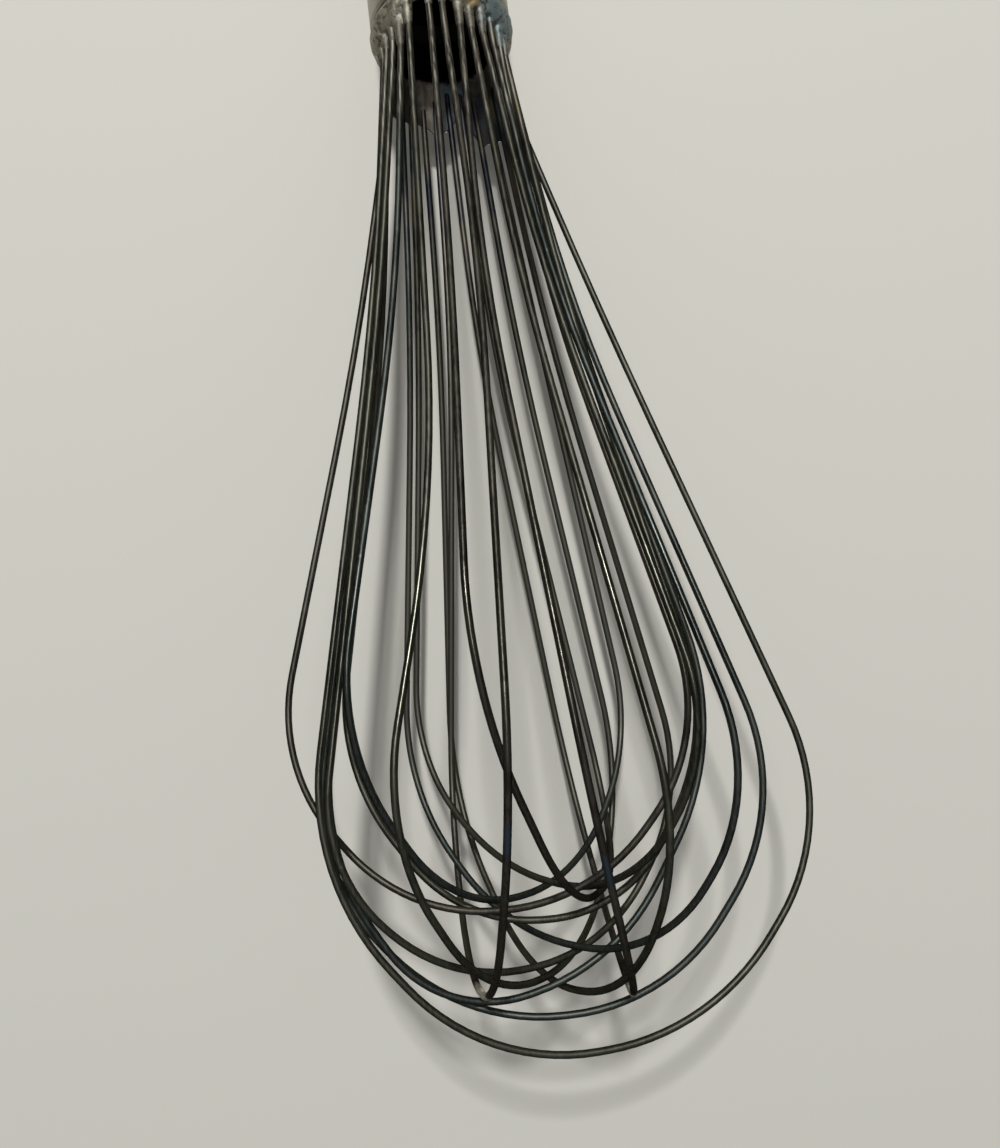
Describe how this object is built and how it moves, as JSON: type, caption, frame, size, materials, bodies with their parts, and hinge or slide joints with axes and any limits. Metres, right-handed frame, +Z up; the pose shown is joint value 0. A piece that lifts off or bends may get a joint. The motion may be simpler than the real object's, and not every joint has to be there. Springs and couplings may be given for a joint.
{
  "type": "whisk attachment",
  "caption": "Wire whip for a kitchen mixer: a short metal hub with a drive bore and bayonet slot, and a balloon of bent steel wire loops soldered into its lower end.",
  "frame": {"origin": "on the hub's axis, in the middle of the mouth of the drive bore", "axes": "+Z up along the hub's axis, out of the drive bore; the wires hang towards -Z; +Y to the bayonet slot"},
  "size_m": [0.1126, 0.0845, 0.2657],
  "materials": {
    "hub_metal": "dull, stained",
    "solder": "dull, patinated",
    "wire": "worn, heat tinted"
  },
  "bodies": {
    "root": {"hub": "hub_metal", "solder_bead": "solder", "wire_loop_01": "wire", "wire_loop_02": "wire", "wire_loop_03": "wire", "wire_loop_04": "wire", "wire_loop_05": "wire", "wire_loop_06": "wire", "wire_loop_07": "wire", "wire_loop_08": "wire", "wire_loop_09": "wire", "wire_loop_10": "wire", "wire_loop_11": "wire", "wire_loop_12": "wire", "wire_loop_13": "wire", "wire_loop_14": "wire"}
  },
  "joints": []
}
